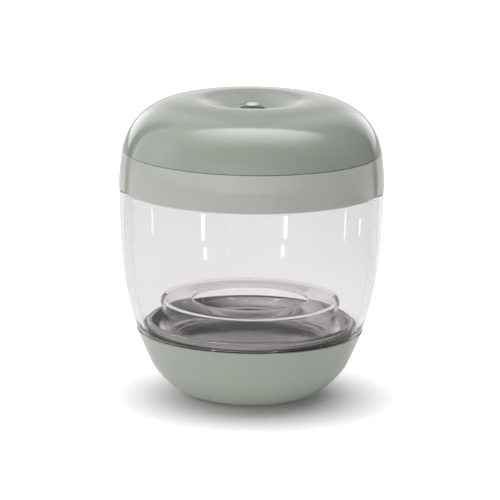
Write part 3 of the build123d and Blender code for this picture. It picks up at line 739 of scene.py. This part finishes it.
# name: colour, roughness, grains to a metre, depth of the grain
dull = {
    name: matt(name, *look)
    for name, look in {
        "silicone": ((0.62, 0.64, 0.61), 0.55, 3000.0, 0.006 * MM),
        "black_plastic": ((0.02, 0.02, 0.021), 0.5, 4000.0, 0.008 * MM),
        "tape_black": ((0.03, 0.03, 0.03), 0.85, 1500.0, 0.03 * MM),
        "component_tan": ((0.42, 0.29, 0.16), 0.55, 3000.0, 0.005 * MM),
        "ceramic_white": ((0.82, 0.82, 0.78), 0.45, 2500.0, 0.004 * MM),
        "wire_red": ((0.42, 0.02, 0.015), 0.38, 900.0, 0.004 * MM),
    }.items()
}
print("dull finishes:", list(dull))


# %% Circuit boards
def board(name, lacquer, track, pitch):
    """Lacquer over copper tracks that run in steps across the board."""
    material, tree, shader = finish_base(name, lacquer, 0.3)
    tracks = tree.nodes.new("ShaderNodeTexBrick")
    tracks.inputs["Scale"].default_value = 1.0 / pitch
    tracks.inputs["Mortar Size"].default_value = 0.035
    tracks.inputs["Color1"].default_value = (*lacquer, 1.0)
    tracks.inputs["Color2"].default_value = (*[c * 1.12 for c in lacquer], 1.0)
    tracks.inputs["Mortar"].default_value = (*track, 1.0)
    wire(tree, tree.nodes["place"], "Object", tracks, "Vector")
    wire(tree, tracks, "Color", shader, "Base Color")
    drift_gloss(tree, shader, scale=300.0, low=0.24, high=0.36)
    relief(tree, shader, tracks, "Fac", 0.03 * MM, strength=0.5)
    return material


board_green = board("board_green", (0.012, 0.085, 0.03), (0.03, 0.16, 0.06), pitch=6.0 * MM)
print("board finish:", board_green.name)

# %% [markdown]
# ### Finish every solid
#
# The record names a slot for each solid. Solids that stay as they are take the finish of
# their slot. The band, the cover and the stand have a finish of their own.

# %% Finish the solids
slot_finish = {
    "shell_plastic": base_plastic,
    "clear_plastic": clear_plastic,
    "button_lens": button_painted_light,
    "bowl_metallised": bowl_metallised,
    "mirror_metal": mirror_metal,
    "quartz": quartz,
    "steel": steel,
    "foil_silver": foil_silver,
    "board_green": board_green,
    **dull,
}
own_finish = {
    "lid_housing": band_plastic,
    "lid_cover": dome_plastic,
    "pacifier_stand": stand_plastic,
}
for part in frame["record"]["subparts"]:
    node = part["node"]
    finish = own_finish.get(node, slot_finish[part["material_slot"]])
    nodes[node].data.materials.clear()
    nodes[node].data.materials.append(finish)

# %% [markdown]
# ## Turned pieces
#
# The stand, the foot ring, the lid's seal and the button are all shapes that a lathe could
# cut: one closed outline carried round the upright axis. Geometry Nodes do that with
# Curve to Mesh, which sweeps an outline along a circle. Each corner of the outline carries
# its own radius as an attribute, and Fillet Curve rounds it, so an edge catches the light.

# %% Tree that turns an outline
def node_at(tree, kind, **settings):
    """A node with its settings, such as an operation."""
    node = tree.nodes.new(kind)
    for setting, value in settings.items():
        setattr(node, setting, value)
    return node


def new_tree(name, sizes):
    """A Geometry Nodes tree with a geometry going in and out, and named sizes."""
    tree = bpy.data.node_groups.new(name, "GeometryNodeTree")
    tree.interface.new_socket("Start", in_out="INPUT", socket_type="NodeSocketGeometry")
    for size, kind in sizes:
        tree.interface.new_socket(size, in_out="INPUT", socket_type=kind)
    tree.interface.new_socket("Finish", in_out="INPUT", socket_type="NodeSocketMaterial")
    tree.interface.new_socket("Piece", in_out="OUTPUT", socket_type="NodeSocketGeometry")
    return tree, node_at(tree, "NodeGroupInput"), node_at(tree, "NodeGroupOutput")


def close_tree(tree, given, last, socket, out):
    """End a tree with real faces, smooth shading and its finish."""
    smooth = node_at(tree, "GeometryNodeSetShadeSmooth")
    real = node_at(tree, "GeometryNodeRealizeInstances")
    painted = node_at(tree, "GeometryNodeSetMaterial")
    wire(tree, last, socket, smooth, "Geometry")
    wire(tree, smooth, "Geometry", real, "Geometry")
    wire(tree, real, "Geometry", painted, "Geometry")
    wire(tree, given, "Finish", painted, "Material")
    wire(tree, painted, "Geometry", out, "Piece")


turning, given, out = new_tree(
    "turned_piece",
    (
        ("Path radius", "NodeSocketFloat"),
        ("Steps round", "NodeSocketInt"),
        ("Corner steps", "NodeSocketInt"),
    ),
)
outline = node_at(turning, "GeometryNodeMeshToCurve")
corner = node_at(turning, "GeometryNodeInputNamedAttribute", data_type="FLOAT")
corner.inputs["Name"].default_value = "corner"
rounded = node_at(turning, "GeometryNodeFilletCurve", mode="POLY")
rounded.inputs["Limit Radius"].default_value = True
circle = node_at(turning, "GeometryNodeCurvePrimitiveCircle")
upright = node_at(turning, "GeometryNodeSetCurveNormal", mode="Z_UP")
sweep = node_at(turning, "GeometryNodeCurveToMesh")
merged = node_at(turning, "GeometryNodeMergeByDistance")
merged.inputs["Distance"].default_value = 0.002 * MM
wire(turning, given, "Start", outline, "Mesh")
wire(turning, outline, "Curve", rounded, "Curve")
wire(turning, corner, "Attribute", rounded, "Radius")
wire(turning, given, "Corner steps", rounded, "Count")
wire(turning, given, "Path radius", circle, "Radius")
wire(turning, given, "Steps round", circle, "Resolution")
wire(turning, circle, "Curve", upright, "Curve")
wire(turning, upright, "Curve", sweep, "Curve")
wire(turning, rounded, "Curve", sweep, "Profile Curve")
wire(turning, sweep, "Mesh", merged, "Geometry")
close_tree(turning, given, merged, "Geometry", out)
print("tree:", turning.name, "nodes:", len(turning.nodes))


# %% Helper that makes a tree's result a plain piece
def plain_piece(name, start, tree, sizes, sharp=35.0):
    """Run a tree on a start mesh with named sizes, keep the mesh and drop the modifier."""
    piece = bpy.data.objects.new(name, start)
    bpy.context.scene.collection.objects.link(piece)
    modifier = piece.modifiers.new(tree.name, "NODES")
    modifier.node_group = tree
    for item in tree.interface.items_tree:
        if item.in_out == "INPUT" and item.name in sizes:
            modifier[item.identifier] = sizes[item.name]
    seen = bpy.context.evaluated_depsgraph_get()
    result = bpy.data.meshes.new_from_object(piece.evaluated_get(seen), depsgraph=seen)
    piece.modifiers.clear()
    piece.data = result
    shell = bmesh.new()
    shell.from_mesh(result)
    bmesh.ops.remove_doubles(shell, verts=shell.verts, dist=0.001 * MM)
    bmesh.ops.recalc_face_normals(shell, faces=shell.faces)
    shell.to_mesh(result)
    shell.free()
    result.set_sharp_from_angle(angle=math.radians(sharp))
    print(name, "faces:", len(result.polygons))
    return piece


def turned(name, outline, finish, round_steps=128, corner_steps=4):
    """Turn a closed outline of (radius, height, corner radius) points."""
    radii = [r for r, _, _ in outline]
    path = 0.5 * (min(radii) + max(radii))
    count = len(outline)
    start = bpy.data.meshes.new(name)
    start.from_pydata(
        [(r - path, -z, 0.0) for r, z, _ in outline],
        [(i, (i + 1) % count) for i in range(count)],
        [],
    )
    corner = start.attributes.new("corner", "FLOAT", "POINT")
    corner.data.foreach_set("value", [c for *_, c in outline])
    sizes = {
        "Path radius": path,
        "Steps round": round_steps,
        "Corner steps": corner_steps,
        "Finish": finish,
    }
    return plain_piece(name, start, turning, sizes)


# %% [markdown]
# ### Stand
#
# The pacifier lies on a clear plate with a round hole, on a skirt that narrows down to a
# small foot rim. It is one wall with two bends, so the outline goes up its outside and
# comes back down its inside, a wall's thickness away.

# %% Stand
stand_wall = 1.3 * MM
stand_hole = 17.5 * MM
stand_foot = 25.2 * MM
stand_foot_wide = 2.6 * MM
plate_corner = 1.04 * MM
foot_corner = 0.39 * MM
hole_corner = 0.30 * MM
stand_outline = [
    (stand_foot - stand_foot_wide, stand_low.z, foot_corner),
    (stand_foot, stand_low.z, foot_corner),
    (stand_high.x, stand_high.z, plate_corner),
    (stand_hole, stand_high.z, hole_corner),
    (stand_hole, stand_high.z - stand_wall, hole_corner),
    (stand_high.x - stand_wall, stand_high.z - stand_wall, plate_corner - 0.5 * stand_wall),
    (stand_foot - stand_wall, stand_low.z + stand_wall, foot_corner),
    (stand_foot - stand_foot_wide, stand_low.z + stand_wall, foot_corner),
]
stand = turned("stand_turned", stand_outline, stand_plastic, round_steps=192)
stand.visible_shadow = False
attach(stand, "stand")
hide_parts("pacifier_stand")

# %% [markdown]
# ### Foot ring
#
# The ring under the base is soft silicone. Three shallow grooves in its sole let it grip,
# and its edges are rounded by the mould. A groove is wider at its mouth than at its bottom.

# %% Foot ring
groove_deep = 0.30 * MM
groove_wide = 0.55 * MM
groove_mouth = 0.75  # half the mouth, in groove widths
groove_bottom = 0.5
groove_corner = 0.06 * MM
grooves = 3
top_corner = 0.10 * MM
ring_hole = least_radius("foot_ring")
groove_pitch = (ring_high.x - ring_hole) / (grooves + 1)
sole = [(ring_hole, ring_high.z, top_corner), (ring_hole, ring_low.z, 0.30 * MM)]
for turn in range(grooves):
    middle_r = ring_hole + (turn + 1) * groove_pitch
    for out_by, up_by in (
        (-groove_mouth, 0.0),
        (-groove_bottom, 1.0),
        (groove_bottom, 1.0),
        (groove_mouth, 0.0),
    ):
        edge_r = middle_r + out_by * groove_wide
        sole.append((edge_r, ring_low.z + up_by * groove_deep, groove_corner))
sole += [(ring_high.x, ring_low.z, 0.35 * MM), (ring_high.x, ring_high.z, top_corner)]
foot = turned("foot_ring_turned", sole, dull["silicone"], corner_steps=3)
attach(foot, "base")
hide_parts("foot_ring")

# %% [markdown]
# ### Lid seal
#
# A seal wipes the bore with two thin lips rather than one broad band, which keeps the lid
# easy to lift. The outline has a valley between the lips.

# %% Lid seal
lip_high = 0.42 * MM
lip_back = 0.30 * MM
lip_corner = 0.12 * MM
valley_deep = 0.55 * MM
valley_corner = 0.20 * MM
bore_corner = 0.10 * MM
seal_hole = least_radius("lid_seal")
seal_middle = 0.5 * (seal_low.z + seal_high.z)
lips = [
    (seal_hole, seal_low.z, bore_corner),
    (seal_high.x - lip_back, seal_low.z, lip_corner),
    (seal_high.x, seal_low.z + lip_high, lip_corner),
    (seal_high.x - valley_deep, seal_middle, valley_corner),
    (seal_high.x, seal_high.z - lip_high, lip_corner),
    (seal_high.x - lip_back, seal_high.z, lip_corner),
    (seal_hole, seal_high.z, bore_corner),
]
seal = turned("lid_seal_turned", lips, dull["silicone"], round_steps=192, corner_steps=3)
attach(seal, "lid")
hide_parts("lid_seal")

# %% [markdown]
# ### Button
#
# The button is a low lens. A fine groove parts the middle, painted pale as a highlight, from
# the ring, painted dark as a reflection, and a flange under the cover keeps it from falling
# out.

# %% Button
button_radius = 3.75 * MM
flange_thick = 0.6 * MM
lens_proud = 0.6 * MM
lens_groove = 0.12 * MM
shoulder_drop = 0.5 * MM
flange_corner = 0.10 * MM
root_corner = 0.05 * MM
shoulder_corner = 0.25 * MM
ring_corner = 0.15 * MM
groove_corner = 0.03 * MM
crown_steps = 7
first_step = 0.6  # the lowest point of the lens, in steps above its foot
crown_fullness = 0.6  # below one, the lens is fuller than a ball
ring_top = button_high.z - lens_proud
flange_top = button_low.z + flange_thick
crown = [
    (0.0, button_low.z, 0.0),
    (button_high.x, button_low.z, flange_corner),
    (button_high.x, flange_top, flange_corner),
    (button_radius, flange_top, root_corner),
    (button_radius, ring_top - shoulder_drop, shoulder_corner),
    (1.25 * lens_radius, ring_top, ring_corner),
    (1.06 * lens_radius, ring_top - lens_groove, groove_corner),
]
for step in range(crown_steps):
    lean = math.pi / 2 * (step + first_step) / (crown_steps + first_step)
    crown_r = lens_radius * math.cos(lean) ** crown_fullness
    crown.append((crown_r, ring_top + lens_proud * math.sin(lean), 0.0))
crown.append((0.0, button_high.z, 0.0))
button = turned("button_turned", crown, button_painted_light, round_steps=96)
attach(button, "button")
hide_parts("power_button")

# %% [markdown]
# ## Screws
#
# The same pan-head screw turns up in six sets. Its tree bends a cylinder into a domed head,
# cuts a cross into it with a Boolean, adds the shank, and puts a copy on each spot. The
# spots are the middles of the solids' own screws.

# %% Tree that sets screws on their spots
dome_share = 0.42  # how much of the head's area is gone at its top
dome_power = 3.0  # how late up the head that sets in
cross_reach = 1.2  # length of a bar of the cross, in head radii
screwing, given, out = new_tree(
    "screws_on_spots",
    (
        ("Head radius", "NodeSocketFloat"),
        ("Head height", "NodeSocketFloat"),
        ("Shank radius", "NodeSocketFloat"),
        ("Length", "NodeSocketFloat"),
        ("Slot", "NodeSocketFloat"),
        ("Tip over", "NodeSocketFloat"),
    ),
)


def gmath(operation, *values):
    """A maths node in the screws' tree."""
    return maths(screwing, operation, *values)


head = node_at(screwing, "GeometryNodeMeshCylinder")
head.inputs["Vertices"].default_value = 40
head.inputs["Side Segments"].default_value = 5
head.inputs["Fill Segments"].default_value = 4
wire(screwing, given, "Head radius", head, "Radius")
wire(screwing, given, "Head height", head, "Depth")
spot = node_at(screwing, "GeometryNodeInputPosition")
parts = node_at(screwing, "ShaderNodeSeparateXYZ")
wire(screwing, spot, "Position", parts, "Vector")
lift = gmath("MULTIPLY", (given, "Head height"), 0.5)
height = gmath("ADD", (parts, "Z"), lift)
climb = gmath("DIVIDE", height, (given, "Head height"))
gone = gmath("MULTIPLY", gmath("POWER", climb, dome_power), dome_share)
narrow = gmath("SQRT", gmath("SUBTRACT", 1.0, gone))
domed = node_at(screwing, "ShaderNodeCombineXYZ")
wire(screwing, *gmath("MULTIPLY", (parts, "X"), narrow), domed, "X")
wire(screwing, *gmath("MULTIPLY", (parts, "Y"), narrow), domed, "Y")
wire(screwing, *height, domed, "Z")
bent = node_at(screwing, "GeometryNodeSetPosition")
wire(screwing, head, "Mesh", bent, "Geometry")
wire(screwing, domed, "Vector", bent, "Position")
cross = node_at(screwing, "GeometryNodeJoinGeometry")
for across, along in (("X", "Y"), ("Y", "X")):
    size = node_at(screwing, "ShaderNodeCombineXYZ")
    wire(screwing, *gmath("MULTIPLY", (given, "Head radius"), cross_reach), size, across)
    wire(screwing, given, "Slot", size, along)
    wire(screwing, given, "Head height", size, "Z")
    bar = node_at(screwing, "GeometryNodeMeshCube")
    wire(screwing, size, "Vector", bar, "Size")
    raised = node_at(screwing, "GeometryNodeTransform")
    place = node_at(screwing, "ShaderNodeCombineXYZ")
    wire(screwing, given, "Head height", place, "Z")
    wire(screwing, bar, "Mesh", raised, "Geometry")
    wire(screwing, place, "Vector", raised, "Translation")
    wire(screwing, raised, "Geometry", cross, "Geometry")
cut = node_at(screwing, "GeometryNodeMeshBoolean", operation="DIFFERENCE", solver="EXACT")
cut.inputs["Self Intersection"].default_value = True
wire(screwing, bent, "Geometry", cut, "Mesh 1")
wire(screwing, cross, "Geometry", cut, "Mesh 2")
shank = node_at(screwing, "GeometryNodeMeshCylinder")
shank.inputs["Vertices"].default_value = 24
wire(screwing, given, "Shank radius", shank, "Radius")
wire(screwing, given, "Length", shank, "Depth")
sunk = node_at(screwing, "GeometryNodeTransform")
down = node_at(screwing, "ShaderNodeCombineXYZ")
wire(screwing, *gmath("MULTIPLY", (given, "Length"), -0.5), down, "Z")
wire(screwing, shank, "Mesh", sunk, "Geometry")
wire(screwing, down, "Vector", sunk, "Translation")
whole = node_at(screwing, "GeometryNodeJoinGeometry")
wire(screwing, cut, "Mesh", whole, "Geometry")
wire(screwing, sunk, "Geometry", whole, "Geometry")
copies = node_at(screwing, "GeometryNodeInstanceOnPoints")
tip = node_at(screwing, "ShaderNodeCombineXYZ")
wire(screwing, given, "Tip over", tip, "X")
facing = node_at(screwing, "FunctionNodeEulerToRotation")
wire(screwing, tip, "Vector", facing, "Euler")
wire(screwing, given, "Start", copies, "Points")
wire(screwing, whole, "Geometry", copies, "Instance")
wire(screwing, facing, "Rotation", copies, "Rotation")
close_tree(screwing, given, copies, "Instances", out)
print("tree:", screwing.name, "nodes:", len(screwing.nodes))


# %% Helper that finds the middles of separate solids in one node
def middles(node):
    """Middle of each separate solid of a node, in plan."""
    copy = bmesh.new()
    copy.from_mesh(nodes[node].data)
    bmesh.ops.remove_doubles(copy, verts=copy.verts, dist=0.001 * MM)
    left = set(copy.verts)
    found = []
    while left:
        group = [left.pop()]
        for corner_vert in group:
            for edge in corner_vert.link_edges:
                other = edge.other_vert(corner_vert)
                if other in left:
                    left.remove(other)
                    group.append(other)
        xs = [v.co.x for v in group]
        ys = [v.co.y for v in group]
        found.append((0.5 * (min(xs) + max(xs)), 0.5 * (min(ys) + max(ys))))
    copy.free()
    return sorted(found)


# %% Screws
screw_slot = 0.35 * MM
large_screw = {
    "Head radius": 1.7 * MM,
    "Head height": 1.2 * MM,
    "Shank radius": 0.9 * MM,
    "Length": 4.5 * MM,
}
small_screw = {
    "Head radius": 1.2 * MM,
    "Head height": 0.9 * MM,
    "Shank radius": 0.6 * MM,
    "Length": 2.0 * MM,
}
for node, body, size, points_up in (
    ("bowl_screws", "base", large_screw, True),
    ("cover_screws", "lid", large_screw, True),
    ("mirror_screws", "lid", small_screw, True),
    ("switch_screws", "lid", small_screw, True),
    ("lamp_screws", "lid", small_screw, False),
    ("board_screws", "lid", small_screw, False),
):
    low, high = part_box(node)
    seat = low.z + size["Head height"] if points_up else high.z - size["Head height"]
    start = bpy.data.meshes.new(node)
    start.from_pydata([(x, y, seat) for x, y in middles(node)], [], [])
    tip_over = math.pi if points_up else 0.0
    sizes = {**size, "Slot": screw_slot, "Tip over": tip_over, "Finish": steel}
    piece = plain_piece(node + "_set", start, screwing, sizes, sharp=40.0)
    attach(piece, body)
    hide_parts(node)

# %% [markdown]
# ## Close
#
# The view transform is set to Standard.

# %% View transform
bpy.context.scene.view_settings.view_transform = "Standard"
